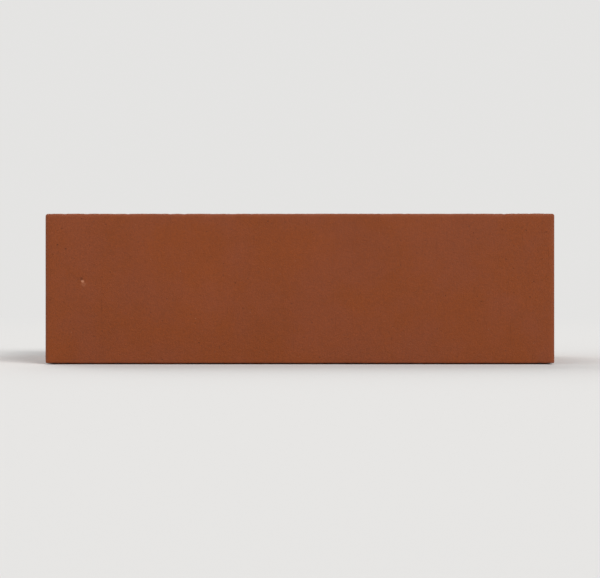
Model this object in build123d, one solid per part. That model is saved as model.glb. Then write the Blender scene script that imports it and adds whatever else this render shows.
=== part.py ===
from build123d import *

import os

# One smooth facing brick of hard-fired clay, in the 240 x 115 x 71 mm normal format.
# The clay column leaves the die standing on end, so the four upright faces are smooth
# and the slots run straight through the height. A wire cuts the column at both beds.
#
# Frame: the origin is the centre of the lower bed, +X runs along the length and +Z is up.
# The long face that shows in a wall looks along -Y. Every size is in millimetres.

# Outside of the brick
length = 240.0
width = 115.0
height = 71.0

# Arrises
die_corner_radius = 2.0  # the four upright corners, shaped by the mouth of the die
bed_arris_radius = 1.0  # the long and short edges of both beds, rubbed after the wire cut

# Slots: two outer rows, and between them a middle row that is staggered by half a pitch
face_shell = 20.0  # clay between a long face and the nearest row of slots
end_shell = 18.0  # clay between a short face and the first slot of an outer row
slot_width = 13.0
slot_web = 12.0  # clay between two slots of the same row
outer_row_slots = 6

slot_length = (length - 2 * end_shell - (outer_row_slots - 1) * slot_web) / outer_row_slots
slot_pitch = slot_length + slot_web
outer_row_offset = width / 2 - face_shell - slot_width / 2
middle_row_slots = outer_row_slots - 1


def slot_rows():
    """Each row of slots as its distance from the long centre line and its number of slots."""
    return [
        (-outer_row_offset, outer_row_slots),
        (0.0, middle_row_slots),
        (outer_row_offset, outer_row_slots),
    ]


def column_section():
    """The section of the clay column: a rectangle with die-rounded corners, less its slots."""
    with BuildSketch(Plane.XY) as section:
        RectangleRounded(length, width, die_corner_radius)
        for row_offset, count in slot_rows():
            with Locations((0, row_offset)):
                with GridLocations(slot_pitch, 0, count, 1):
                    SlotOverall(slot_length, slot_width, mode=Mode.SUBTRACT)
    return section.sketch


def bed_arrises(column):
    """The outer edges of the upper and the lower bed, without the mouths of the slots."""
    beds = [column.faces().sort_by(Axis.Z)[0], column.faces().sort_by(Axis.Z)[-1]]
    return [edge for bed in beds for edge in bed.outer_wire().edges()]


def clay_brick():
    """The whole brick: the column cut to height, with its bed arrises rubbed round."""
    with BuildPart() as brick:
        add(column_section())
        extrude(amount=height)
        fillet(bed_arrises(brick.part), bed_arris_radius)
    return brick.part


def main():
    """Writes the brick as one STEP file."""
    os.makedirs("parts", exist_ok=True)
    export_step(clay_brick(), "parts/clay_brick.step")


main()
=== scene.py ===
"""Dresses one smooth facing brick of hard-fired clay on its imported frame.

The brick is a single piece. Its clay column left the die standing on end, so the upright
faces and the slot walls carry a smooth die skin, and a wire cut both beds. The wire lay
along the length and travelled across the width, towards +Y. Sizes are in metres.
"""

import logging
import math
from collections import Counter
from dataclasses import dataclass, replace
from enum import Enum
from functools import cached_property, partial, reduce
from typing import Self

import bpy
import numpy as np
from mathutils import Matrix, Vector
from mathutils.geometry import delaunay_2d_cdt


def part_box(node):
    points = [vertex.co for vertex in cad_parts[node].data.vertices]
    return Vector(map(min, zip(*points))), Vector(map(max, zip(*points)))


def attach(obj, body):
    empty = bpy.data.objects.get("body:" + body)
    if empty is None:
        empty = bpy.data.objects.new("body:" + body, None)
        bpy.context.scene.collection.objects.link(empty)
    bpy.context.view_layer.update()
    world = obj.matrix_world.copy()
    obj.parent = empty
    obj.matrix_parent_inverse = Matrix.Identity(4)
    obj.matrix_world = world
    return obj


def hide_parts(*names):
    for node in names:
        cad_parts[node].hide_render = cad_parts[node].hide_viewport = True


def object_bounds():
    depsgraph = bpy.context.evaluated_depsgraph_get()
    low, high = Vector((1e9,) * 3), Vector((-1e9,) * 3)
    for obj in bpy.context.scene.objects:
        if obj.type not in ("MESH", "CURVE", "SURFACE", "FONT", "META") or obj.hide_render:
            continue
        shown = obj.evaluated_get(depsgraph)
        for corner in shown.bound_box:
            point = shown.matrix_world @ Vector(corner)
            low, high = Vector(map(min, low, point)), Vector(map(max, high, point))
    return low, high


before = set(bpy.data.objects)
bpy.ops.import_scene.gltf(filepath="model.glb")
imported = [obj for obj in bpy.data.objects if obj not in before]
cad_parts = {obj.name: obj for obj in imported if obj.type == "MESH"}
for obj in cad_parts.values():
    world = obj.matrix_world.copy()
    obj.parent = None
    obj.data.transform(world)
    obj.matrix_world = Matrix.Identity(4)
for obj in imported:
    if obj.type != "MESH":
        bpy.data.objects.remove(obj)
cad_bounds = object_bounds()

LOGGER = logging.getLogger("brick_scene")

MM = 0.001
NODE = "clay_brick"
PIECE = "fired_brick"
BODY = "root"
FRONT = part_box(NODE)[0].y

Colour = tuple[float, float, float]
Size3 = tuple[float, float, float]
Span = tuple[float, float]
Socket = bpy.types.NodeSocket
Paint = Colour | Socket
Value = float | Socket

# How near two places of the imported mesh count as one, in metres and in decimals of a metre
TOUCH = 1e-6
WELD_DECIMALS = 6
ROW_DECIMALS = 4

# The odd factors and the shifts that scramble a corner of the noise lattice
WORD_BITS = 64
EXACT_BITS = 53
AXIS_FACTORS = np.array([0x9E3779B97F4A7C15, 0xC2B2AE3D27D4EB4F, 0x165667B19E3779F9], np.uint64)
Y_SHIFT = np.uint64(7)
Z_SHIFT = np.uint64(3)
SEED_FACTOR = 0x27D4EB2F165667C5
SCRAMBLE_FACTOR = np.uint64(0xBF58476D1CE4E5B9)
SCRAMBLE_SHIFTS = (29, 31, 32)

# The triangulation that fills the whole hull of its points
FILL_HULL = 0

# The inputs and the output of a node that mixes two colours
MIX_SHARE, MIX_FIRST, MIX_SECOND, MIX_RESULT = 0, 6, 7, 2


class Region(Enum):
    """The three kinds of clay surface, by the place of their finish on the mesh."""

    DIE_SKIN = 0
    WIRE_CUT = 1
    SLOT_WALL = 2


class Bed(Enum):
    """The two wire-cut beds, by the direction that each one faces."""

    LOWER = -1
    UPPER = 1


def smooth_step(values: np.ndarray, low: float, high: float) -> np.ndarray:
    """Give each value a share that rises smoothly from 0 at the low value to 1 at the high one."""
    share = np.clip((values - low) / (high - low), 0.0, 1.0)
    return share * share * (3.0 - 2.0 * share)


def bell(distances: np.ndarray, reach: float) -> np.ndarray:
    """Give each distance a share that falls from 1 at no distance to about a third at the reach."""
    return np.exp(-((distances / reach) ** 2))


def lifted(plan: np.ndarray, height: float) -> np.ndarray:
    """Give rows of two coordinates, as seen from above, the same third one."""
    return np.column_stack((plan, np.full(len(plan), height)))


@dataclass(frozen=True)
class ClayNoise:
    """Smooth seeded noise between -1 and 1, sampled at points in metres."""

    seed: int

    def corner_values(self, corners: np.ndarray) -> np.ndarray:
        """Give each corner of the noise lattice its own value.

        Args:
            corners: Whole lattice coordinates, three in each row.

        Returns:
            One value between -1 and 1 for each row.
        """
        parts = corners.astype(np.int64).astype(np.uint64) * AXIS_FACTORS
        mixed = parts[:, 0] ^ (parts[:, 1] << Y_SHIFT) ^ (parts[:, 2] >> Z_SHIFT)
        mixed += np.uint64(self.seed * SEED_FACTOR % 2**WORD_BITS)
        for shift in SCRAMBLE_SHIFTS:
            mixed = (mixed ^ (mixed >> np.uint64(shift))) * SCRAMBLE_FACTOR
        exact = (mixed >> np.uint64(WORD_BITS - EXACT_BITS)).astype(float)
        return exact / 2.0 ** (EXACT_BITS - 1) - 1.0

    def value(self, points: np.ndarray, cell: float | Size3) -> np.ndarray:
        """Sample one octave of the noise.

        Args:
            points: Points in metres, three coordinates in each row.
            cell: The size of one bump, alike in all directions or one size for each axis.

        Returns:
            One value between -1 and 1 for each point.
        """
        places = points / np.asarray(cell, float)
        base = np.floor(places)
        share = smooth_step(places - base, 0.0, 1.0)
        total = np.zeros(len(points))
        for corner in np.ndindex(2, 2, 2):
            weights = np.where(corner, share, 1.0 - share).prod(axis=1)
            total += weights * self.corner_values(base + corner)
        return total

    def fractal(self, points: np.ndarray, cell: float | Size3, octaves: int) -> np.ndarray:
        """Add finer and weaker octaves of the noise to the first.

        Args:
            points: Points in metres, three coordinates in each row.
            cell: The size of one bump of the first octave.
            octaves: How many octaves are added up.

        Returns:
            One value, nearly always between -1 and 1, for each point.
        """
        size = np.asarray(cell, float)
        layers = [self.value(points, size / 2**step) / 2**step for step in range(octaves)]
        return sum(layers) / sum(1 / 2**step for step in range(octaves))


@dataclass(frozen=True)
class Loop:
    """A closed outline as a spine with the direction that its wall faces at each point."""

    spine: np.ndarray
    outward: np.ndarray

    @classmethod
    def rounded(cls, half_x: float, half_y: float, step: float, corner_steps: int) -> Self:
        """Make the loop of a rounded rectangle, anticlockwise as seen from above.

        Args:
            half_x: Half the length of the spine's box. The corner radius comes on top of it.
            half_y: Half the width of the spine's box, or 0 for a slot with round ends.
            step: The most that two points on a straight side may lie apart.
            corner_steps: How many steps turn a quarter of a circle.

        Returns:
            The loop, with an even number of points.
        """
        corners = [(half_x, -half_y), (half_x, half_y), (-half_x, half_y), (-half_x, -half_y)]
        spine, outward = [], []
        for index, corner in enumerate(corners):
            following = corners[(index + 1) % len(corners)]
            side = math.dist(corner, following)
            turns = corner_steps + 1 if side else corner_steps
            for turn in range(turns):
                angle = math.pi / 2 * (index - 1 + turn / corner_steps)
                spine.append(corner)
                outward.append((math.cos(angle), math.sin(angle)))
            parts = math.ceil(side / step)
            for part in range(1, parts):
                spine.append(tuple(np.add(corner, np.subtract(following, corner) * part / parts)))
                outward.append(outward[-1])
        return cls(np.array(spine), np.array(outward))

    def halved(self) -> Self:
        """Give the loop with every second point left out."""
        return replace(self, spine=self.spine[::2], outward=self.outward[::2])

    def at(self, radius: float | np.ndarray) -> np.ndarray:
        """Give the outline's points at a distance from its spine."""
        return self.spine + self.outward * np.reshape(radius, (-1, 1))


@dataclass(frozen=True)
class Slot:
    """One slot of the clay column, by its centre, its length and its width."""

    centre: tuple[float, float]
    length: float
    width: float

    def distance(self, points: np.ndarray) -> np.ndarray:
        """Measure how far points lie outside the slot's wall, negative within the slot."""
        beyond = np.maximum(np.abs(points[:, 0] - self.centre[0]) - (self.length - self.width) / 2, 0)
        return np.hypot(beyond, points[:, 1] - self.centre[1]) - self.width / 2


@dataclass(frozen=True)
class BrickSizes:
    """The brick's sizes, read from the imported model."""

    length: float
    width: float
    height: float
    corner_radius: float
    arris_radius: float
    slots: list[Slot]

    @classmethod
    def from_node(cls, name: str) -> Self:
        """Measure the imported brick.

        Args:
            name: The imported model's node.

        Returns:
            The outside sizes, the radii of the corners and arrises, and every slot.
        """
        low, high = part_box(name)
        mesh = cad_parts[name].data
        points = np.array([vertex.co for vertex in mesh.vertices])
        front = points[np.isclose(points[:, 1], low.y, atol=TOUCH)]
        outlines = cls.bed_outlines(mesh, points, high.z)
        boxes = [(points[ring].min(axis=0), points[ring].max(axis=0)) for ring in outlines]
        boxes.sort(key=lambda corners: corners[1][0] - corners[0][0])
        slots = [
            Slot(tuple((first + last)[:2] / 2), last[0] - first[0], last[1] - first[1])
            for first, last in boxes[:-1]
        ]
        return cls(
            length=high.x - low.x,
            width=high.y - low.y,
            height=high.z - low.z,
            corner_radius=high.x - front[:, 0].max(),
            arris_radius=high.z - front[:, 2].max(),
            slots=sorted(slots, key=lambda slot: (round(slot.centre[1], ROW_DECIMALS), slot.centre[0])),
        )

    @staticmethod
    def bed_outlines(mesh: bpy.types.Mesh, points: np.ndarray, top: float) -> list[list[int]]:
        """Find the closed outlines that bound the flat upper bed.

        Args:
            mesh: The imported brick's mesh.
            points: Its vertices, one in each row.
            top: The height of the upper bed.

        Returns:
            One list of vertex numbers for the outside and one for each slot.
        """
        places: dict[tuple, int] = {}
        rounded = map(tuple, np.round(points, WELD_DECIMALS))
        weld = [places.setdefault(place, index) for index, place in enumerate(rounded)]
        edges: Counter[tuple[int, int]] = Counter()
        for polygon in mesh.polygons:
            corners = [weld[index] for index in polygon.vertices]
            if np.isclose(points[corners, 2], top, atol=TOUCH).all():
                edges.update(tuple(sorted(pair)) for pair in zip(corners, corners[1:] + corners[:1]))
        neighbours: dict[int, list[int]] = {}
        for first, second in (edge for edge, uses in edges.items() if uses == 1):
            neighbours.setdefault(first, []).append(second)
            neighbours.setdefault(second, []).append(first)
        outlines = []
        while neighbours:
            outline, waiting = [], [next(iter(neighbours))]
            while waiting:
                index = waiting.pop()
                if index in neighbours:
                    outline.append(index)
                    waiting.extend(neighbours.pop(index))
            outlines.append(outline)
        return outlines

    def arris_distance(self, points: np.ndarray) -> np.ndarray:
        """Measure how far points on the outside lie from the nearest ideal arris.

        Args:
            points: Points on the brick's outside, three coordinates in each row.

        Returns:
            The distance to the nearest edge of the brick's box, for each point.
        """
        from_end = self.length / 2 - np.abs(points[:, 0])
        from_face = self.width / 2 - np.abs(points[:, 1])
        from_bed = np.minimum(points[:, 2], self.height - points[:, 2])
        gaps = np.sort(np.column_stack((from_end, from_face, from_bed)), axis=1)
        return np.hypot(gaps[:, 0], gaps[:, 1])


class ClaySurface:
    """Gathers the points and faces of one closed clay mesh."""

    def __init__(self) -> None:
        """Start with no points and no faces."""
        self.points = np.empty((0, 3))
        self.normals = np.empty((0, 3))
        self.point_regions = np.empty(0, int)
        self.faces: list[list[int]] = []
        self.face_regions: list[int] = []

    def add_points(self, points: np.ndarray, normals: np.ndarray, region: Region) -> np.ndarray:
        """Add points with the directions that the surface faces there.

        Args:
            points: Three coordinates in each row.
            normals: One direction for each point.
            region: The region that the points belong to.

        Returns:
            The numbers of the new points.
        """
        first = len(self.points)
        self.points = np.vstack((self.points, points))
        self.normals = np.vstack((self.normals, normals))
        self.point_regions = np.append(self.point_regions, np.full(len(points), region.value))
        return np.arange(first, len(self.points))

    def add_faces(self, faces: np.ndarray, region: Region, flipped: bool = False) -> None:
        """Add faces to one region.

        Args:
            faces: The point numbers of one face in each row.
            region: The region that the faces belong to.
            flipped: Whether the faces turn the other way round.
        """
        ordered = faces[:, ::-1] if flipped else faces
        self.faces.extend(ordered.tolist())
        self.face_regions.extend([region.value] * len(faces))

    def add_band(self, lower: np.ndarray, upper: np.ndarray, region: Region, flipped: bool) -> None:
        """Join two closed rings of as many points by one row of quads."""
        quads = (lower, np.roll(lower, -1), np.roll(upper, -1), upper)
        self.add_faces(np.column_stack(quads), region, flipped)

    def add_halving_band(
        self, fine: np.ndarray, coarse: np.ndarray, region: Region, flipped: bool
    ) -> None:
        """Join a closed ring to one with half as many points.

        Args:
            fine: The point numbers of the fine ring.
            coarse: Those of the coarse ring, which starts at the same place.
            region: The region that the triangles belong to.
            flipped: Whether the triangles turn the other way round.
        """
        starts, middles, ends = fine[::2], fine[1::2], np.roll(fine, -2)[::2]
        following = np.roll(coarse, -1)
        triangles = [(starts, middles, coarse), (middles, following, coarse), (middles, ends, following)]
        for corners in triangles:
            self.add_faces(np.column_stack(corners), region, flipped)


@dataclass(frozen=True, kw_only=True)
class ClayWall:
    """A closed upright wall between the beds, with fine rows near both and coarser ones between."""

    sizes: BrickSizes
    region: Region
    column_step: float
    corner_steps: int
    end_radius: float
    end_steps: int
    fine_depths: tuple[float, ...]
    row_height: float
    side: float = 1.0

    def loop(self) -> Loop:
        """Give the wall's loop as seen from above."""
        raise NotImplementedError

    def outline(self, loop: Loop, inset: float, height: float) -> np.ndarray:
        """Give the wall's outline at one height, drawn back into the clay by the inset."""
        raise NotImplementedError

    def ring(
        self, surface: ClaySurface, loop: Loop, inset: float, height: float, tilt: float
    ) -> np.ndarray:
        """Add one ring of points.

        Args:
            surface: The surface that takes the points.
            loop: The whole loop, or every second point of it.
            inset: How far the rounded end draws the wall back into the clay.
            height: The ring's height above the lower bed.
            tilt: The upward part of the direction that the surface faces.

        Returns:
            The numbers of the ring's points.
        """
        outline = self.outline(loop, inset, height)
        level = loop.outward * self.side * math.sqrt(1 - tilt * tilt)
        return surface.add_points(lifted(outline, height), lifted(level, tilt), self.region)

    def end_rows(self) -> list[tuple[float, float, float]]:
        """List the fine rows of one end, from its bed inwards.

        Returns:
            For each row its inset, its depth below the bed and its tilt.
        """
        rounded = []
        for step in range(self.end_steps + 1):
            angle = math.pi / 2 * (1 - step / self.end_steps)
            level, tilt = math.cos(angle), math.sin(angle)
            rounded.append((self.end_radius * (1 - level), self.end_radius * (1 - tilt), tilt))
        return rounded + [(0.0, depth, 0.0) for depth in self.fine_depths]

    def build(self, surface: ClaySurface) -> dict[Bed, np.ndarray]:
        """Add the wall to the brick's surface.

        Args:
            surface: The surface that takes the points and faces.

        Returns:
            The ring of points where the wall meets each bed.
        """
        loop = self.loop()
        ends = {}
        for bed in Bed:
            start = self.sizes.height if bed is Bed.UPPER else 0.0
            ends[bed] = [
                self.ring(surface, loop, inset, start - bed.value * depth, bed.value * tilt)
                for inset, depth, tilt in self.end_rows()
            ]
        clear = self.fine_depths[-1] + self.row_height / 2
        count = round((self.sizes.height - 2 * clear) / self.row_height)
        heights = np.linspace(clear, self.sizes.height - clear, count + 1)
        middle = [self.ring(surface, loop.halved(), 0.0, height, 0.0) for height in heights]
        rising = [*zip(ends[Bed.LOWER], ends[Bed.LOWER][1:]), *zip(middle, middle[1:])]
        rising += [(inner, outer) for outer, inner in zip(ends[Bed.UPPER], ends[Bed.UPPER][1:])]
        for lower, upper in rising:
            surface.add_band(lower, upper, self.region, self.side < 0)
        surface.add_halving_band(ends[Bed.LOWER][-1], middle[0], self.region, self.side < 0)
        surface.add_halving_band(ends[Bed.UPPER][-1], middle[-1], self.region, self.side > 0)
        return {bed: rings[0] for bed, rings in ends.items()}


@dataclass(frozen=True, kw_only=True)
class UprightFaces(ClayWall):
    """The four upright faces with the die's skin, and the rubbed arrises round both beds."""

    region: Region = Region.DIE_SKIN
    column_step: float = 0.72 * MM
    corner_steps: int = 6
    end_steps: int = 4
    fine_depths: tuple[float, ...] = (1.6 * MM, 2.5 * MM, 3.8 * MM)
    row_height: float = 2.5 * MM

    def loop(self) -> Loop:
        """Round the corners of the brick's outside.

        Returns:
            The outside as seen from above.
        """
        radius = self.sizes.corner_radius
        half_x = self.sizes.length / 2 - radius
        half_y = self.sizes.width / 2 - radius
        return Loop.rounded(half_x, half_y, self.column_step, self.corner_steps)

    def outline(self, loop: Loop, inset: float, height: float) -> np.ndarray:
        """Give the outside at one height, drawn in by the rounded arris."""
        return loop.at(self.sizes.corner_radius - inset)


@dataclass(frozen=True, kw_only=True)
class SlotWall(ClayWall):
    """One slot's wall, with the lip that the wire pushes into its mouth and the edge it tears.

    The wire leaves the clay at the slot's near side and drags a lip from there into the
    mouth. It meets the clay again at the far side and tears the edge. The near and far spans
    say how squarely the wall has to face the wire for that, and the lip and torn spans say
    how the unevenness along the edge turns into more or less of it.
    """

    slot: Slot
    noise: ClayNoise
    region: Region = Region.SLOT_WALL
    column_step: float = 0.62 * MM
    corner_steps: int = 16
    end_radius: float = 0.40 * MM
    end_steps: int = 2
    fine_depths: tuple[float, ...] = (0.8 * MM, 1.5 * MM, 2.8 * MM)
    row_height: float = 6.5 * MM
    side: float = -1.0
    lip_reach: float = 0.95 * MM
    lip_depth: float = 0.8 * MM
    lip_span: Span = (-0.30, 0.70)
    near_span: Span = (0.0, 0.85)
    torn_reach: float = 0.55 * MM
    torn_depth: float = 0.7 * MM
    torn_span: Span = (-0.05, 0.60)
    far_span: Span = (-0.2, 0.7)
    ragged_cell: float = 2.1 * MM
    ragged_octaves: int = 3

    def loop(self) -> Loop:
        """Give the slot's outline as seen from above, about its own centre."""
        half_spine = (self.slot.length - self.slot.width) / 2
        return Loop.rounded(half_spine, 0.0, self.column_step, self.corner_steps)

    def outline(self, loop: Loop, inset: float, height: float) -> np.ndarray:
        """Give the slot's outline at one height, with the lip and the torn edge.

        Args:
            loop: The whole loop, or every second point of it.
            inset: How far the rounded mouth draws the wall back into the clay.
            height: The outline's height above the lower bed.

        Returns:
            The outline's points, two coordinates in each row.
        """
        ideal = loop.at(self.slot.width / 2) + self.slot.centre
        depth = np.array(min(height, self.sizes.height - height))
        ragged = self.noise.fractal(lifted(ideal, height), self.ragged_cell, self.ragged_octaves)
        near_side = smooth_step(-loop.outward[:, 1], *self.near_span)
        far_side = smooth_step(loop.outward[:, 1], *self.far_span)
        lip = self.lip_reach * smooth_step(ragged, *self.lip_span)
        lip = lip * near_side * bell(depth, self.lip_depth)
        torn = self.torn_reach * smooth_step(-ragged, *self.torn_span)
        torn = torn * far_side * bell(depth, self.torn_depth)
        return loop.at(self.slot.width / 2 + inset - lip + torn) + self.slot.centre


@dataclass(frozen=True)
class WireCutBeds:
    """The two flat beds, finer across the wire's lines than along them."""

    sizes: BrickSizes
    seed: int
    line_step: float = 0.76 * MM
    travel_step: float = 1.4 * MM
    jitter: float = 0.15
    rim: float = 0.6 * MM
    mouth_rim: float = 1.2 * MM
    nearness: float = 1e-8

    def inner_points(self) -> np.ndarray:
        """Scatter the beds' inner points on a slightly uneven grid.

        Returns:
            Points clear of the outer rim and of every slot, two coordinates in each row.
        """
        radius = self.sizes.corner_radius
        edge = self.sizes.arris_radius + self.rim
        half = np.array([self.sizes.length, self.sizes.width]) / 2 - edge
        counts = np.round(2 * half / [self.line_step, self.travel_step]).astype(int)
        along, across = (np.linspace(-reach, reach, count) for reach, count in zip(half, counts))
        grid = np.stack(np.meshgrid(along, across), axis=-1).reshape(-1, 2)
        random = np.random.default_rng(self.seed)
        grid += random.uniform(-self.jitter, self.jitter, grid.shape) * 2 * half / counts
        beyond = np.maximum(np.abs(grid) - half + radius, 0.0)
        clear = np.hypot(beyond[:, 0], beyond[:, 1]) < radius
        for slot in self.sizes.slots:
            clear &= slot.distance(grid) > self.mouth_rim
        return grid[clear]

    def build(
        self, surface: ClaySurface, bed: Bed, outside: np.ndarray, mouths: list[np.ndarray]
    ) -> None:
        """Add one bed between its outer ring and the mouths of the slots.

        Args:
            surface: The surface that takes the points and triangles.
            bed: Which bed is built.
            outside: The point numbers of the ring at the bed's rim.
            mouths: The point numbers of the ring at each slot's mouth.
        """
        inner = self.inner_points()
        points = lifted(inner, self.sizes.height if bed is Bed.UPPER else 0.0)
        facing = lifted(np.zeros_like(inner), bed.value)
        numbers = surface.add_points(points, facing, Region.WIRE_CUT)
        used = np.concatenate([outside, *mouths, numbers])
        flat = surface.points[used, :2]
        rim = [(index, (index + 1) % len(outside)) for index in range(len(outside))]
        starts = np.cumsum([len(outside)] + [len(mouth) for mouth in mouths])
        holes = [list(range(start, start + len(mouth))) for start, mouth in zip(starts, mouths)]
        made = delaunay_2d_cdt([Vector(point) for point in flat], rim, holes, FILL_HULL, self.nearness)
        _, _, triangles, _, _, holes_around = made
        clay = [triangle for triangle, hole in zip(triangles, holes_around) if not hole]
        surface.add_faces(used[np.array(clay)], Region.WIRE_CUT, bed is Bed.LOWER)


@dataclass(frozen=True)
class DieRelief:
    """The slow unevenness and the fine lines of a wall that slid along the die."""

    noise: ClayNoise
    swell: float = 0.08 * MM
    swell_cell: float = 62 * MM
    line: float = 0.016 * MM
    line_cell: Size3 = (4 * MM, 4 * MM, 60 * MM)

    def height(self, points: np.ndarray) -> np.ndarray:
        """Give the skin's height over the ideal wall at each point."""
        swell = self.noise.value(points, self.swell_cell) * self.swell
        return swell + self.noise.fractal(points, self.line_cell, 2) * self.line


@dataclass(frozen=True)
class DragMarks:
    """The grooves that stray grains draw in the wire's wake, each with a crumb at its end.

    The skews draw lengths, widths and depths towards the small end of their span. The start,
    the fade and the window are shares of a groove's length, and outside its window a mark
    is too faint to count.
    """

    seed: int
    count: int = 420
    length: Span = (4 * MM, 32 * MM)
    width: Span = (0.50 * MM, 1.10 * MM)
    depth: Span = (0.12 * MM, 0.48 * MM)
    skews: Size3 = (2.2, 1.4, 1.6)
    crumb: float = 0.7
    drift: float = 0.06
    start: Span = (-0.06, 0.06)
    fade: Span = (0.25, 1.05)
    window: Span = (-0.2, 1.2)
    window_reach: float = 5 * MM

    def height(self, points: np.ndarray, sizes: BrickSizes, bed: Bed) -> np.ndarray:
        """Give the marks' height over the cut plane of one bed.

        Args:
            points: The bed's points, three coordinates in each row.
            sizes: The brick's sizes.
            bed: The bed, which has marks of its own.

        Returns:
            The height at each point, negative in a groove.
        """
        random = np.random.default_rng((self.seed, bed.value + 1))
        half_x, half_y = sizes.length / 2, sizes.width / 2
        height = np.zeros(len(points))
        for _ in range(self.count):
            x, y, drift = random.uniform((-half_x, -half_y, -self.drift), (half_x, half_y, self.drift))
            shares = random.uniform(size=len(self.skews)) ** self.skews
            length, width, depth = (
                low + (high - low) * share
                for (low, high), share in zip((self.length, self.width, self.depth), shares)
            )
            across, along = points[:, 0] - x, (points[:, 1] - y) / length
            in_window = (along > self.window[0]) & (along < self.window[1])
            near = np.flatnonzero(in_window & (np.abs(across) < self.window_reach))
            across, along = across[near] - drift * (points[near, 1] - y), along[near]
            groove = smooth_step(along, *self.start) * (1 - smooth_step(along, *self.fade))
            end = np.hypot(across, points[near, 1] - y - length)
            height[near] += depth * (self.crumb * bell(end, width) - groove * bell(across, width))
        return height


@dataclass(frozen=True)
class WireCutRelief:
    """The wire's lines and chatter, the torn pits and the crumbs of a cut bed."""

    noise: ClayNoise
    marks: DragMarks
    swell: float = 0.10 * MM
    swell_cell: float = 70 * MM
    line: float = 0.20 * MM
    line_cell: Size3 = (2.2 * MM, 40 * MM, 40 * MM)
    rough: float = 0.19 * MM
    rough_cell: Size3 = (1.5 * MM, 3.0 * MM, 40 * MM)
    sway: float = 1.8 * MM
    sway_cell: Size3 = (60 * MM, 38 * MM, 40 * MM)
    chatter: float = 0.04 * MM
    chatter_pitch: float = 8.5 * MM
    chatter_drift: float = 4 * MM
    tear: float = 0.80 * MM
    tear_cell: Size3 = (2.2 * MM, 3.6 * MM, 40 * MM)
    tear_share: Span = (0.42, 0.72)
    zone_cell: float = 28 * MM
    zone_share: float = 0.45
    rim_width: float = 5 * MM
    rim_share: float = 0.25

    def height(self, points: np.ndarray, sizes: BrickSizes) -> np.ndarray:
        """Give the torn surface's height over the cut plane.

        Args:
            points: Points near a bed, three coordinates in each row.
            sizes: The brick's sizes.

        Returns:
            The height at each point, negative where clay was torn out.
        """
        swayed = points.copy()
        swayed[:, 0] += self.noise.value(points, self.sway_cell) * self.sway
        height = self.noise.fractal(swayed, self.line_cell, 2) * self.line
        height += self.noise.fractal(swayed, self.rough_cell, 2) * self.rough
        drifted = points[:, 1] + self.noise.value(points, self.zone_cell) * self.chatter_drift
        height += np.sin(2 * math.pi * drifted / self.chatter_pitch) * self.chatter
        height += self.noise.value(points, self.swell_cell) * self.swell
        height -= smooth_step(self.noise.fractal(swayed, self.tear_cell, 2), *self.tear_share) * self.tear
        upper = points[:, 2] > sizes.height / 2
        for bed, there in ((Bed.UPPER, upper), (Bed.LOWER, ~upper)):
            height[there] += self.marks.height(swayed[there], sizes, bed)
        height *= 1 + self.zone_share * self.noise.value(points, self.zone_cell)
        inward = smooth_step(sizes.arris_distance(points), sizes.arris_radius, self.rim_width)
        return np.where(height > 0, height * (self.rim_share + (1 - self.rim_share) * inward), height)


@dataclass(frozen=True)
class ArrisWear:
    """The rubbing, the crumbled grains and the small chips along the outer arrises.

    The front is handled with care, so it has fewer chips. The last four values say how much of the
    paler inner clay shows: on a rubbed arris, its spread, its reach as a share of the rub's,
    and in a chip. The pale band along a rubbed arris is partly rubbed clay and partly a painted
    edge highlight; a chip shows only the paler inner clay.
    """

    noise: ClayNoise
    rub: float = 0.14 * MM
    rub_reach: float = 1.1 * MM
    rub_cell: float = 7 * MM
    crumble: float = 0.22 * MM
    crumble_reach: float = 0.9 * MM
    crumble_cell: float = 1.7 * MM
    crumble_share: Span = (0.0, 0.7)
    chip: float = 1.0 * MM
    chip_reach: float = 1.7 * MM
    chip_cell: float = 3.8 * MM
    chip_share: Span = (0.50, 0.78)
    front_care: float = 0.16
    front_reach: float = 50 * MM
    # The pale band of a rubbed arris is partly rubbed clay and partly a painted edge highlight.
    rub_fresh_and_highlight: float = 0.55
    rub_fresh_and_highlight_spread: float = 0.45
    rub_fresh_and_highlight_reach: float = 0.8
    fresh_chip: float = 0.8

    def chips(self, points: np.ndarray, distance: np.ndarray) -> np.ndarray:
        """Mark where small chips have left the arrises.

        Args:
            points: Points on the brick's outside, three coordinates in each row.
            distance: How far each point lies from the nearest arris.

        Returns:
            The depth of each chip as a share of the deepest, for each point.
        """
        care = self.front_care * smooth_step(-points[:, 1], 0.0, self.front_reach)
        rough = self.noise.fractal(points, self.chip_cell, 3) - care
        return smooth_step(rough, *self.chip_share) * bell(distance, self.chip_reach)

    def depth(self, points: np.ndarray, distance: np.ndarray) -> np.ndarray:
        """Work out how much clay is gone.

        Args:
            points: Points on the brick's outside, three coordinates in each row.
            distance: How far each point lies from the nearest arris.

        Returns:
            The depth of the missing clay at each point.
        """
        rubbed = 0.5 + 0.5 * self.noise.value(points, self.rub_cell)
        rubbed = rubbed * self.rub * bell(distance, self.rub_reach)
        crumbled = smooth_step(self.noise.fractal(points, self.crumble_cell, 2), *self.crumble_share)
        crumbled = crumbled * self.crumble * bell(distance, self.crumble_reach)
        return rubbed + crumbled + self.chip * self.chips(points, distance)

    def wear_and_edge_highlight(self, points: np.ndarray, distance: np.ndarray) -> np.ndarray:
        """Work out where paler inner clay shows, and where the arris band is painted lighter as an edge
        highlight.

        Args:
            points: Points on the brick's outside, three coordinates in each row.
            distance: How far each point lies from the nearest arris.

        Returns:
            The share of paler inner clay and of painted edge highlight at each point.
        """
        # A pale band along every arris: partly rubbed clay, partly a painted edge highlight.
        rubbed = self.rub_fresh_and_highlight + self.rub_fresh_and_highlight_spread * self.noise.value(points, self.rub_cell)
        rubbed = rubbed * bell(distance, self.rub_fresh_and_highlight_reach * self.rub_reach)
        return np.clip(rubbed + self.fresh_chip * self.chips(points, distance), 0.0, 1.0)


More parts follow.
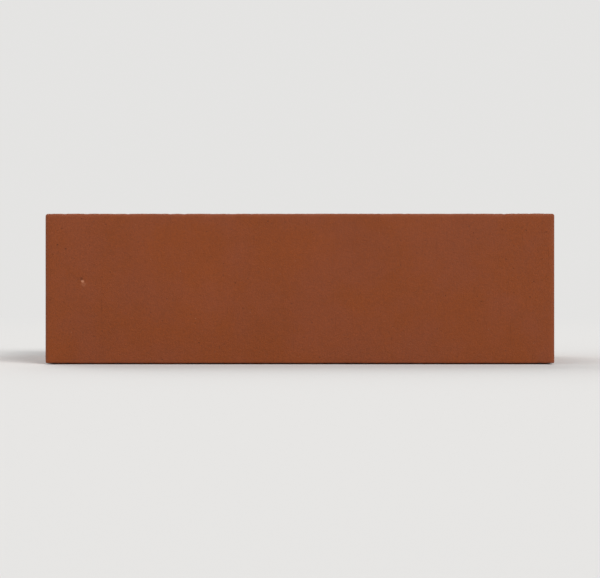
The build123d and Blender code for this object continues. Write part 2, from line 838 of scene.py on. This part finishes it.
@dataclass(frozen=True)
class NodeSheet:
    """Adds shader nodes to one material and links them in plain calls."""

    tree: bpy.types.NodeTree

    @classmethod
    def blank(cls, owner: bpy.types.Material | bpy.types.World) -> Self:
        """Turn on the nodes of a material or a world and clear them.

        Args:
            owner: The material or the world.

        Returns:
            Its empty sheet.
        """
        owner.use_nodes = True
        owner.node_tree.nodes.clear()
        return cls(owner.node_tree)

    @cached_property
    def place(self) -> Socket:
        """Give the place on the object, in metres."""
        return self.add("TexCoord", {}).outputs["Object"]

    def add(self, kind: str, inputs: dict, **settings: object) -> bpy.types.Node:
        """Add one node.

        Args:
            kind: The node's type, without the words that every shader node's type starts with.
            inputs: Values and sockets by the name or number of the input that takes them.
            **settings: The node's own settings.

        Returns:
            The new node.
        """
        node = self.tree.nodes.new("ShaderNode" + kind)
        for name, value in settings.items():
            setattr(node, name, value)
        for key, value in inputs.items():
            if isinstance(value, Socket):
                self.tree.links.new(value, node.inputs[key])
            else:
                node.inputs[key].default_value = value
        return node

    def math(self, operation: str, *values: Value) -> Socket:
        """Work out one number from sockets and plain values."""
        return self.add("Math", dict(enumerate(values)), operation=operation).outputs[0]

    def total(self, *values: Value) -> Socket:
        """Add up two or more sockets and plain values."""
        return reduce(partial(self.math, "ADD"), values)

    def weighted(self, start: float, *parts: tuple[Socket, float]) -> Socket:
        """Add each part's socket times its weight to a plain start, and skip weights of 0."""
        return self.total(start, *(self.math("MULTIPLY", *part) for part in parts if part[1]))

    def stretched(self, place: Socket, sizes: Size3) -> Socket:
        """Scale a place so that one unit is the given size along each axis."""
        scales = tuple(1.0 / size for size in sizes)
        return self.add("VectorMath", {0: place, 1: scales}, operation="MULTIPLY").outputs[0]

    def noise(self, size: float | Size3, octaves: float = 2.0, fineness: float = 0.5) -> Socket:
        """Add soft noise around 0.

        Args:
            size: The size of one bump, alike in all directions or one size for each axis.
            octaves: How many finer octaves are added.
            fineness: How strong the finer octaves are.

        Returns:
            A number from about -0.5 to 0.5.
        """
        place, scale = self.place, 1.0
        if isinstance(size, tuple):
            place = self.stretched(place, size)
        else:
            scale /= size
        inputs = {"Vector": place, "Scale": scale, "Detail": octaves, "Roughness": fineness}
        return self.math("SUBTRACT", self.add("TexNoise", inputs).outputs[0], 0.5)

    def cells(self, place: Socket, size: float) -> tuple[Socket, list[Socket]]:
        """Divide a place into uneven cells.

        Args:
            place: The place that the cells are read at.
            size: The mean distance between the middles of two cells.

        Returns:
            How far the place is from the cell's middle, in cells, and the cell's three chances.
        """
        found = self.add("TexVoronoi", {"Vector": place, "Scale": 1.0 / size}).outputs
        chances = self.add("SeparateColor", {0: found["Color"]}).outputs
        return found["Distance"], list(chances)

    def ramp(self, value: Socket, low: float, high: float) -> Socket:
        """Rise smoothly from 0 at the low value to 1 at the high one."""
        inputs = {"Value": value, "From Min": low, "From Max": high}
        return self.add("MapRange", inputs, interpolation_type="SMOOTHSTEP").outputs[0]

    def blend(self, share: Value, first: Paint, second: Paint) -> Socket:
        """Blend two colours by a share."""
        colours = {MIX_SHARE: share, MIX_FIRST: self.opaque(first), MIX_SECOND: self.opaque(second)}
        return self.add("Mix", colours, data_type="RGBA").outputs[MIX_RESULT]

    def toned(self, colour: Socket, tone: Socket) -> Socket:
        """Make a colour lighter or darker by a factor."""
        return self.add("VectorMath", {0: colour, "Scale": tone}, operation="SCALE").outputs[0]

    @staticmethod
    def opaque(colour: Paint) -> object:
        """Give a plain colour its alpha, and leave a socket as it is."""
        return (*colour, 1.0) if isinstance(colour, tuple) else colour


@dataclass(frozen=True)
class ClaySheet(NodeSheet):
    """The nodes of one clay finish, with what they all read off the brick."""

    shake_size: float = 0.45 * MM
    shake_reach: float = 0.30 * MM

    @cached_property
    def shaken(self) -> Socket:
        """Shift the place unevenly, so that round grains read at it become irregular.

        Returns:
            The shifted place, in metres.
        """
        inputs = {"Vector": self.place, "Scale": 1.0 / self.shake_size, "Detail": 1.0}
        noise = self.add("TexNoise", inputs).outputs["Color"]
        shift = self.add("VectorMath", {0: noise, 1: (0.5, 0.5, 0.5)}, operation="SUBTRACT").outputs[0]
        reach = self.add("VectorMath", {0: shift, "Scale": 2.0 * self.shake_reach}, operation="SCALE")
        return self.add("VectorMath", {0: self.place, 1: reach.outputs[0]}).outputs[0]

    @cached_property
    def wear_and_edge_highlight(self) -> Socket:
        """Give the share of paler inner clay and painted edge highlight that is marked on the mesh."""
        return self.add("Attribute", {}, attribute_name="wear_and_edge_highlight").outputs["Fac"]

    @cached_property
    def torn(self) -> Socket:
        """Give the height of the wire's marks that is marked on the mesh, between -1 and 1."""
        return self.add("Attribute", {}, attribute_name="torn").outputs["Fac"]


@dataclass(frozen=True)
class Mark:
    """One kind of fine mark: where it is, how high it stands and how it changes the tone.

    A height is in metres, and a tone is a share of the colour's strength.
    """

    share: Socket
    height: float
    tone: float


@dataclass(frozen=True)
class Unevenness:
    """Soft unevenness, with bumps of one size or of one size for each axis."""

    size: float | Size3
    height: float = 0.0
    tone: float = 0.0
    octaves: float = 2.0
    fineness: float = 0.5
    limits: Span | None = None

    def share(self, sheet: NodeSheet) -> Socket:
        """Give a number around 0, or one that rises from 0 to 1 between the limits."""
        noise = sheet.noise(self.size, self.octaves, self.fineness)
        return sheet.ramp(noise, *self.limits) if self.limits else noise

    def mark(self, sheet: NodeSheet) -> Mark:
        """Make the unevenness a mark of the clay."""
        return Mark(self.share(sheet), self.height, self.tone)


@dataclass(frozen=True)
class PackedGrains:
    """Grains that touch each other, round on top and each with a tone of its own."""

    size: float
    height: float
    tone: float

    def marks(self, sheet: NodeSheet) -> list[Mark]:
        """Pack the clay with the grains.

        Args:
            sheet: The finish's nodes.

        Returns:
            The grains' round tops and their tones.
        """
        distance, chances = sheet.cells(sheet.place, self.size)
        tops = Mark(sheet.math("SUBTRACT", 0.5, distance), self.height, 0.0)
        return [tops, Mark(sheet.math("SUBTRACT", chances[1], 0.5), 0.0, self.tone)]


@dataclass(frozen=True)
class Grit:
    """Thinly scattered round grains or holes.

    A share of the cells is filled, with one grain in each. The rim is where a grain starts to
    fade, as a share of its radius. A grain of no size counts as the smallest, which can't be seen.
    """

    cell: float
    radius: float
    filled: float
    height: float = 0.0
    tone: float = 0.0
    stretch: Size3 = (1.0, 1.0, 1.0)
    rim: float = 0.55
    smallest: float = 1e-4

    def share(self, sheet: NodeSheet, place: Socket) -> Socket:
        """Scatter the grit.

        Args:
            sheet: The finish's nodes.
            place: The place that the grit is read at.

        Returns:
            A number that is 1 within a grain and 0 away from the grains.
        """
        distance, chances = sheet.cells(sheet.stretched(place, self.stretch), self.cell)
        there = sheet.ramp(chances[0], 1.0 - self.filled, 1.0)
        size = sheet.math("MULTIPLY", there, self.radius / self.cell)
        inside = sheet.math("DIVIDE", distance, sheet.math("MAXIMUM", size, self.smallest))
        return sheet.math("SUBTRACT", 1.0, sheet.ramp(inside, self.rim, 1.0))

    def mark(self, sheet: NodeSheet, place: Socket) -> Mark:
        """Make the grit a mark of the clay."""
        return Mark(self.share(sheet, place), self.height, self.tone)


@dataclass(frozen=True, kw_only=True)
class ColouredGrit(Grit):
    """Grit with a colour of its own, which partly covers the clay's."""

    colour: Colour
    strength: float

    def over(self, sheet: ClaySheet, body: Socket) -> Socket:
        """Scatter the grit over the clay's colour."""
        share = sheet.math("MULTIPLY", self.share(sheet, sheet.shaken), self.strength)
        return sheet.blend(share, body, self.colour)


@dataclass(frozen=True)
class Spot:
    """One small spot on the clay, round but for its uneven rim.

    Bump, wobble and core are shares of the radius: the size of the rim's bumps, how far
    they reach, and where the spot starts to fade.
    """

    centre: Size3
    radius: float
    strength: float = 1.0
    bump: float = 0.9
    wobble: float = 1.3
    core: float = 0.35

    def share(self, sheet: NodeSheet) -> Socket:
        """Give 1 in the middle of the spot, falling to 0 at its rim.

        Args:
            sheet: The finish's nodes.

        Returns:
            The spot's share of the place.
        """
        centred = {0: sheet.place, 1: self.centre}
        away = sheet.add("VectorMath", centred, operation="DISTANCE").outputs["Value"]
        uneven = sheet.math("MULTIPLY", sheet.noise(self.bump * self.radius), self.wobble * self.radius)
        rim = sheet.ramp(sheet.total(away, uneven), self.core * self.radius, self.radius)
        return sheet.math("SUBTRACT", 1.0, rim)


@dataclass(frozen=True)
class ClayFinish:
    """One finish of the fired clay: its colours, its gloss, its grain and its pores."""

    name: str
    orange: Colour
    pink: Colour
    clouds: Unevenness = Unevenness(24 * MM, octaves=3.0, fineness=0.55, limits=(-0.16, 0.16))
    patches: Unevenness = Unevenness(33 * MM, tone=0.14, octaves=1.0)
    blotches: Unevenness = Unevenness(6 * MM, tone=0.09)
    sand: Unevenness = Unevenness(0.95 * MM, 0.09 * MM, 0.22, octaves=1.0)
    grains: PackedGrains = PackedGrains(0.42 * MM, 0.045 * MM, 0.13)
    dust: Unevenness = Unevenness(0.26 * MM, 0.10 * MM, 0.50, fineness=0.6)
    # The pores' darker tone is painted shade in their holes.
    pores: Grit = Grit(1.9 * MM, 0.36 * MM, 0.34, -0.20 * MM, -0.30)
    crumbled: Unevenness = Unevenness(0.8 * MM, 0.55 * MM, 0.60, octaves=3.0, fineness=0.65)
    iron: ColouredGrit = ColouredGrit(
        2.1 * MM, 0.26 * MM, 0.25, stretch=(1.1, 0.9, 1.0), colour=(0.075, 0.024, 0.014), strength=0.7
    )
    quartz: ColouredGrit = ColouredGrit(
        2.6 * MM, 0.24 * MM, 0.16, stretch=(0.9, 1.1, 1.05), colour=(0.420, 0.250, 0.160), strength=0.5
    )
    # Paler inner clay in the chips, and the same colour painted along the arrises as an edge highlight.
    fresh_clay_and_highlight: Colour = (0.300, 0.100, 0.052)
    fresh_and_highlight_strength: float = 0.50
    roughness: float = 0.60
    roughness_spread: float = 0.22
    worn_roughness: float = 0.15
    specular: float = 0.26

    def marks(self, sheet: ClaySheet) -> list[Mark]:
        """List the finish's fine marks.

        Args:
            sheet: The finish's nodes.

        Returns:
            The marks that every clay finish has.
        """
        crumbled = sheet.math("MULTIPLY", self.crumbled.share(sheet), sheet.wear_and_edge_highlight)
        return [
            *(kind.mark(sheet) for kind in (self.patches, self.blotches, self.sand)),
            *self.grains.marks(sheet),
            self.dust.mark(sheet),
            self.pores.mark(sheet, sheet.shaken),
            Mark(crumbled, self.crumbled.height, self.crumbled.tone),
        ]

    def colour(self, sheet: ClaySheet, tone: Socket) -> Socket:
        """Mix the clay's colour.

        Args:
            sheet: The finish's nodes.
            tone: The strength of the colour.

        Returns:
            The colour, with soft clouds, paler inner clay in the chips and as a painted edge highlight
            along the rubbed arrises, and dark and pale grains.
        """
        body = sheet.toned(sheet.blend(self.clouds.share(sheet), self.orange, self.pink), tone)
        # Paler clay in the chips, and a painted edge highlight along the rubbed arrises.
        body = sheet.blend(sheet.math("MULTIPLY", sheet.wear_and_edge_highlight, self.fresh_and_highlight_strength), body, self.fresh_clay_and_highlight)
        return self.quartz.over(sheet, self.iron.over(sheet, body))

    def material(self) -> bpy.types.Material:
        """Make the finish's material.

        Returns:
            The material, ready for the brick's mesh.
        """
        made = bpy.data.materials.new(self.name)
        sheet = ClaySheet.blank(made)
        marks = self.marks(sheet)
        tone = sheet.weighted(1.0, *((mark.share, mark.tone) for mark in marks))
        height = sheet.weighted(0.0, *((mark.share, mark.height) for mark in marks))
        bump = sheet.add("Bump", {"Strength": 1.0, "Distance": 1.0, "Height": height})
        sanded = (self.sand.share(sheet), self.roughness_spread)
        rubbed = (sheet.wear_and_edge_highlight, self.worn_roughness)
        inputs = {
            "Base Color": self.colour(sheet, tone),
            "Roughness": sheet.weighted(self.roughness, sanded, rubbed),
            "Specular IOR Level": self.specular,
            "Normal": bump.outputs[0],
        }
        shader = sheet.add("BsdfPrincipled", inputs)
        sheet.add("OutputMaterial", {"Surface": shader.outputs[0]})
        return made


@dataclass(frozen=True)
class DieSkin(ClayFinish):
    """The finish of a wall that slid along the die, with faint lines along the column."""

    streaks: Unevenness = Unevenness((0.8 * MM, 0.8 * MM, 45 * MM), 0.020 * MM, 0.06)
    scores: Unevenness = Unevenness(
        (0.40 * MM, 0.40 * MM, 20 * MM), -0.05 * MM, -0.12, limits=(0.15, 0.27)
    )

    def marks(self, sheet: ClaySheet) -> list[Mark]:
        """Add the die's streaks and scores to the clay's marks."""
        return super().marks(sheet) + [self.streaks.mark(sheet), self.scores.mark(sheet)]


@dataclass(frozen=True)
class FaceSkin(DieSkin):
    """The die skin of the upright faces, with one pale grain near the left end of the front.

    The grain sits below a small pit, which is painted darker as its shade, and leaves a faint
    smear under itself.
    """

    pit: Spot = Spot((-102.8 * MM, FRONT, 40.2 * MM), 1.0 * MM)
    pit_height: float = -0.16 * MM
    # The pit's darker tone is painted shade in the pit.
    pit_shade_tone: float = -0.38
    grain: Spot = Spot((-102.3 * MM, FRONT, 39.1 * MM), 0.85 * MM, 0.85)
    smear: Spot = Spot((-101.9 * MM, FRONT, 37.7 * MM), 1.6 * MM, 0.18)
    pale: Colour = (0.474, 0.193, 0.103)

    def marks(self, sheet: ClaySheet) -> list[Mark]:
        """Add the pale grain's pit, with its painted shade, to the die's marks."""
        return super().marks(sheet) + [Mark(self.pit.share(sheet), self.pit_height, self.pit_shade_tone)]

    def colour(self, sheet: ClaySheet, tone: Socket) -> Socket:
        """Lay the pale grain and its faint smear over the clay's colour.

        Args:
            sheet: The finish's nodes.
            tone: The strength of the colour.

        Returns:
            The colour with the pale grain.
        """
        body = super().colour(sheet, tone)
        for spot in (self.smear, self.grain):
            body = sheet.blend(sheet.math("MULTIPLY", spot.share(sheet), spot.strength), body, self.pale)
        return body


@dataclass(frozen=True)
class WireCut(ClayFinish):
    """The finish of a cut bed, torn along the wire's way. Its raised crumbs are painted a little
    lighter as a highlight; its torn hollows are darker, partly clean clay and partly painted shade.
    """

    scratches: Unevenness = Unevenness((0.42 * MM, 9 * MM, 5 * MM), 0.33 * MM, 0.36, 3.0, 0.6)
    # The tears' darker tone is painted shade in their hollows.
    tears: Unevenness = Unevenness(
        (0.8 * MM, 1.7 * MM, 1.2 * MM), -0.32 * MM, -0.06, 3.0, 0.6, limits=(-0.02, 0.24)
    )
    # The crumbs' lighter tone is a painted highlight on raised clay.
    crumbs: Grit = Grit(2.4 * MM, 0.55 * MM, 0.40, 0.22 * MM, 0.08, stretch=(0.8, 1.3, 1.0))
    # Torn tone: painted shade, partly clean clay, in the hollows; a painted highlight on raised clay.
    torn_shade_and_highlight_grain: Unevenness = Unevenness(0.60 * MM, octaves=3.0, fineness=0.7)
    torn_shade_and_highlight_spread: float = 2.2
    torn_shade_and_highlight_tone: float = 0.26

    def marks(self, sheet: ClaySheet) -> list[Mark]:
        """Add the wire's scratches, tears and crumbs to the clay's marks, with painted shade in the
        torn hollows and a painted highlight on the raised torn clay.

        Args:
            sheet: The finish's nodes.

        Returns:
            All marks of the cut bed.
        """
        grainy_shade_and_highlight = sheet.weighted(1.0, (self.torn_shade_and_highlight_grain.share(sheet), self.torn_shade_and_highlight_spread))
        return super().marks(sheet) + [
            self.scratches.mark(sheet),
            self.tears.mark(sheet),
            self.crumbs.mark(sheet, sheet.place),
            # Painted shade in the torn hollows and a painted highlight on raised clay, broken into
            # specks.
            Mark(sheet.math("MULTIPLY", sheet.torn, grainy_shade_and_highlight), 0.0, self.torn_shade_and_highlight_tone),
        ]


FACE_SKIN = FaceSkin("die_skin", orange=(0.2080, 0.0430, 0.0050), pink=(0.2050, 0.0446, 0.0102))
# The beds are lighter than the faces: partly the cut clay's own colour, partly painted light from above.
WIRE_CUT = WireCut(
    "wire_cut",
    orange=(0.240, 0.0585, 0.0160),
    pink=(0.244, 0.0630, 0.0235),
    sand=replace(ClayFinish.sand, height=0.20 * MM, tone=0.26),
    grains=PackedGrains(0.50 * MM, 0.13 * MM, 0.22),
    dust=replace(ClayFinish.dust, height=0.16 * MM),
    # The beds' pores keep that darker tone, painted shade in their holes.
    pores=replace(ClayFinish.pores, radius=0.42 * MM, filled=0.45, height=-0.30 * MM),
    iron=replace(ClayFinish.iron, cell=2.9 * MM, radius=0.80 * MM, filled=0.36),
    quartz=replace(ClayFinish.quartz, cell=3.4 * MM, radius=0.66 * MM, filled=0.30),
    fresh_and_highlight_strength=0.35,
    roughness=0.84,
    roughness_spread=0.10,
    specular=0.18,
)
SLOT_WALL = DieSkin(
    "slot_wall",
    orange=(0.206, 0.0450, 0.0100),
    pink=(0.200, 0.0460, 0.0150),
    streaks=replace(DieSkin.streaks, height=0.07 * MM, tone=0.16),
    scores=replace(DieSkin.scores, height=-0.06 * MM),
    roughness=0.70,
    specular=0.20,
)


@dataclass(frozen=True)
class FacingBrick:
    """The whole brick as one closed clay mesh.

    The flat share tells the lower bed's plane from its rounded rim, and the torn depth is the
    height of a wire mark that shows its tone in full: darker in a hollow, partly as clean clay and
    partly as painted shade, and lighter on raised clay as a painted highlight.
    """

    sizes: BrickSizes
    skin: DieRelief = DieRelief(ClayNoise(11))
    cores: DieRelief = DieRelief(
        ClayNoise(17), swell=0.05 * MM, line=0.05 * MM, line_cell=(2.6 * MM, 2.6 * MM, 50 * MM)
    )
    cut: WireCutRelief = WireCutRelief(ClayNoise(23), DragMarks(29))
    wear: ArrisWear = ArrisWear(ClayNoise(37))
    lip_noise: ClayNoise = ClayNoise(53)
    grid_seed: int = 71
    flat_share: float = 0.99
    torn_depth: float = 0.45 * MM

    def surface(self) -> ClaySurface:
        """Build the brick's ideal surface, without its relief.

        Returns:
            The closed surface of faces, slots and beds.
        """
        surface = ClaySurface()
        faces = UprightFaces(sizes=self.sizes, end_radius=self.sizes.arris_radius)
        rims = faces.build(surface)
        mouths = [
            SlotWall(sizes=self.sizes, slot=slot, noise=self.lip_noise).build(surface)
            for slot in self.sizes.slots
        ]
        beds = WireCutBeds(self.sizes, self.grid_seed)
        for bed in Bed:
            beds.build(surface, bed, rims[bed], [mouth[bed] for mouth in mouths])
        return surface

    def relief(self, surface: ClaySurface, cut: np.ndarray) -> np.ndarray:
        """Work out how far the real clay stands off the ideal surface.

        Args:
            surface: The ideal surface.
            cut: The height of the wire's marks at each point.

        Returns:
            The height along the surface's direction at each point.
        """
        points = surface.points
        cut_share = surface.normals[:, 2] ** 2
        in_slot = surface.point_regions == Region.SLOT_WALL.value
        smooth = np.where(in_slot, self.cores.height(points), self.skin.height(points))
        relief = (1 - cut_share) * smooth + cut_share * cut
        relief -= self.wear.depth(points, self.sizes.arris_distance(points))
        below = cut_share * (points[:, 2] < self.sizes.height / 2)
        return relief - below * relief[below > self.flat_share].max()

    def build(self) -> bpy.types.Object:
        """Make the brick's mesh.

        Returns:
            The brick, with its rubbed and chipped arrises, their painted edge highlight and its torn
            clay marked for the finishes.
        """
        surface = self.surface()
        cut = self.cut.height(surface.points, self.sizes)
        formed = surface.points + surface.normals * self.relief(surface, cut)[:, None]
        formed[:, 2] = np.maximum(formed[:, 2], 0.0)
        mesh = bpy.data.meshes.new(PIECE)
        mesh.from_pydata(formed, [], surface.faces)
        mesh.polygons.foreach_set("material_index", surface.face_regions)
        mesh.polygons.foreach_set("use_smooth", np.ones(len(surface.faces), bool))
        # The first mark is chipped and rubbed clay with a painted edge highlight; the second feeds the
        # beds' painted shade.
        marks = {
            "wear_and_edge_highlight": self.wear.wear_and_edge_highlight(surface.points, self.sizes.arris_distance(surface.points)),
            "torn": np.clip(cut / self.torn_depth, -1.0, 1.0),
        }
        for name, values in marks.items():
            layer = mesh.attributes.new(name, "FLOAT", "POINT")
            layer.data.foreach_set("value", values.astype(np.float32))
        mesh.update()
        brick = bpy.data.objects.new(PIECE, mesh)
        bpy.context.scene.collection.objects.link(brick)
        return brick

    def dress(self, brick: bpy.types.Object) -> None:
        """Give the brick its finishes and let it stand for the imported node.

        Args:
            brick: The brick's mesh object.
        """
        for finish in (FACE_SKIN, WIRE_CUT, SLOT_WALL):
            brick.data.materials.append(finish.material())
        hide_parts(NODE)
        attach(brick, BODY)


@dataclass(frozen=True)
class Backdrop:
    """A plain pale floor that fades into an equally pale background."""

    radius: float = 6.0
    sides: int = 96
    floor_colour: Colour = (0.65, 0.645, 0.64)
    far_colour: Colour = (0.78, 0.775, 0.765)
    fade: Span = (0.30, 1.4)
    sky_colour: Colour = (0.96, 0.98, 1.0)
    sky_strength: float = 0.42

    def pale_rays(self, sheet: NodeSheet) -> Socket:
        """Pick out the rays that show the background: those of the camera, gloss and glass.

        Args:
            sheet: The nodes of the floor or of the world.

        Returns:
            A number that is 1 for those rays and 0 for the others.
        """
        path = sheet.add("LightPath", {}).outputs
        shown = sheet.math("MAXIMUM", path["Is Camera Ray"], path["Is Glossy Ray"])
        return sheet.math("MAXIMUM", shown, path["Is Transmission Ray"])

    def build_floor(self) -> bpy.types.Object:
        """Make the floor as a wide disc at height 0.

        Returns:
            The floor, marked as stage.
        """
        bpy.ops.mesh.primitive_circle_add(vertices=self.sides, radius=self.radius, fill_type="NGON")
        floor = bpy.context.object
        floor.name = "pale_floor"
        made = bpy.data.materials.new("pale_floor")
        sheet = NodeSheet.blank(made)
        distance = sheet.add("VectorMath", {0: sheet.place}, operation="LENGTH").outputs["Value"]
        share = sheet.math("MULTIPLY", sheet.ramp(distance, *self.fade), self.pale_rays(sheet))
        near = sheet.add("BsdfDiffuse", {"Color": (*self.floor_colour, 1.0)})
        far = sheet.add("Emission", {"Color": (*self.far_colour, 1.0), "Strength": 1.0})
        mixed = sheet.add("MixShader", {0: share, 1: near.outputs[0], 2: far.outputs[0]})
        sheet.add("OutputMaterial", {"Surface": mixed.outputs[0]})
        floor.data.materials.append(made)
        return floor

    def build_sky(self) -> None:
        """Light the scene evenly, and show the far floor's colour behind it."""
        world = bpy.data.worlds.new("pale_background")
        bpy.context.scene.world = world
        sheet = NodeSheet.blank(world)
        light = sheet.add("Background", {"Color": (*self.sky_colour, 1.0), "Strength": self.sky_strength})
        shown = sheet.add("Background", {"Color": (*self.far_colour, 1.0), "Strength": 1.0})
        inputs = {0: self.pale_rays(sheet), 1: light.outputs[0], 2: shown.outputs[0]}
        mixed = sheet.add("MixShader", inputs)
        sheet.add("OutputWorld", {"Surface": mixed.outputs[0]})


@dataclass(frozen=True)
class SoftLamp:
    """One distant lamp, wide enough to soften its shadows and even all over the floor."""

    name: str
    azimuth: float
    elevation: float
    strength: float
    spread: float = 30.0
    colour: Colour = (1.0, 0.985, 0.96)

    def build(self, target: Vector) -> bpy.types.Object:
        """Hang the lamp.

        Args:
            target: The point that the lamp faces.

        Returns:
            The lamp, which the camera doesn't see.
        """
        turn, rise = math.radians(self.azimuth), math.radians(self.elevation)
        level = math.cos(rise)
        away = Vector((math.sin(turn) * level, -math.cos(turn) * level, math.sin(rise)))
        light = bpy.data.lights.new(self.name, "SUN")
        light.energy = self.strength
        light.angle = math.radians(self.spread)
        light.color = self.colour
        lamp = bpy.data.objects.new(self.name, light)
        lamp.location = target + away
        lamp.rotation_euler = away.to_track_quat("Z", "Y").to_euler()
        lamp.visible_camera = False
        bpy.context.scene.collection.objects.link(lamp)
        return lamp


LAMPS = (
    SoftLamp("key_lamp", azimuth=36.0, elevation=40.0, strength=2.10),
    SoftLamp("fill_lamp", azimuth=-60.0, elevation=30.0, strength=0.50, spread=60.0),
    SoftLamp("back_lamp", azimuth=200.0, elevation=42.0, strength=1.50, spread=50.0),
)


@dataclass(frozen=True)
class FrontCamera:
    """A camera square to the long face, level with its middle."""

    lens: float = 100.0
    sensor: float = 36.0
    brick_share: float = 0.85

    def build(self, low: Vector, high: Vector) -> bpy.types.Object:
        """Set up the camera before the face that looks along -Y.

        Args:
            low: The lowest corner of the brick's box.
            high: The highest corner of the brick's box.

        Returns:
            The scene's camera.
        """
        data = bpy.data.cameras.new("front_camera")
        data.lens = self.lens
        data.sensor_width = self.sensor
        away = (high.x - low.x) / self.brick_share * self.lens / self.sensor
        camera = bpy.data.objects.new("front_camera", data)
        camera.location = ((low.x + high.x) / 2, low.y - away, (low.z + high.z) / 2)
        camera.rotation_euler = (math.pi / 2, 0.0, 0.0)
        bpy.context.scene.collection.objects.link(camera)
        bpy.context.scene.camera = camera
        return camera


def main() -> None:
    """Build the camera, the brick, the backdrop and the lamps in order."""
    logging.basicConfig(level=logging.INFO)
    low, high = cad_bounds
    FrontCamera().build(low, high)

    sizes = BrickSizes.from_node(NODE)
    packed = (sizes.length / MM, sizes.width / MM, sizes.height / MM)
    LOGGER.info("packed brick: %.1f x %.1f x %.1f mm", *packed)
    model = FacingBrick(sizes)
    brick = model.build()
    model.dress(brick)
    LOGGER.info("%s: %d slots, %d faces", brick.name, len(sizes.slots), len(brick.data.polygons))

    backdrop = Backdrop()
    floor = backdrop.build_floor()
    backdrop.build_sky()
    LOGGER.info("%s: %.0f m across", floor.name, 2 * backdrop.radius)
    for lamp in LAMPS:
        LOGGER.info("%s: strength %.2f", lamp.build((low + high) / 2).name, lamp.strength)

    bpy.context.scene.view_settings.view_transform = "Standard"


if __name__ == "__main__":
    main()
